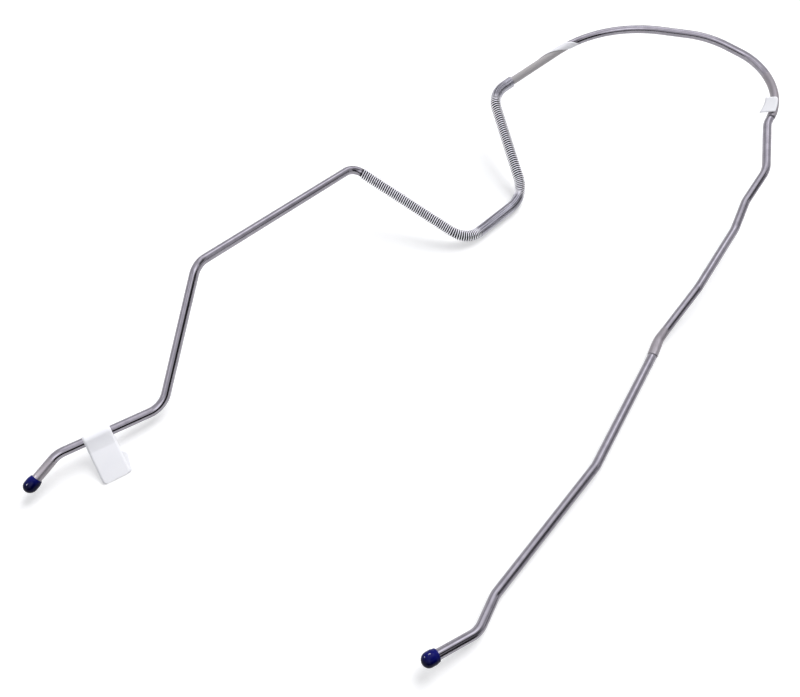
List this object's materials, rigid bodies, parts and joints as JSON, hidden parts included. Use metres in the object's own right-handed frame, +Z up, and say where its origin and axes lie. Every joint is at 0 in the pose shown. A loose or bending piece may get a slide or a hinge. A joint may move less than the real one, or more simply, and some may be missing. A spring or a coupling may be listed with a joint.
{
  "type": "fuel line",
  "caption": "Bent steel fuel line with a wire-wound stone guard over its middle run, a push-on cap on each end and three blank paper labels.",
  "frame": {"origin": "under the middle of the line's outline, on the plane it lies on", "axes": "+Z up as the line lies; +X along the longer side of its outline, from the capped end with the flag label towards the arch; +Y away from the other capped end"},
  "size_m": [0.6782, 0.629, 0.0828],
  "materials": {
    "tube_steel": "satin coated steel",
    "guard_wire": "satin drawn wire",
    "cap_vinyl": "gloss vinyl",
    "label_paper": "matt coated paper"
  },
  "bodies": {
    "root": {"fuel_tube": "tube_steel", "stone_guard": "guard_wire", "end_cap_left": "cap_vinyl", "end_cap_right": "cap_vinyl", "flag_label": "label_paper", "wrap_label": "label_paper", "tag_label": "label_paper"}
  },
  "joints": []
}
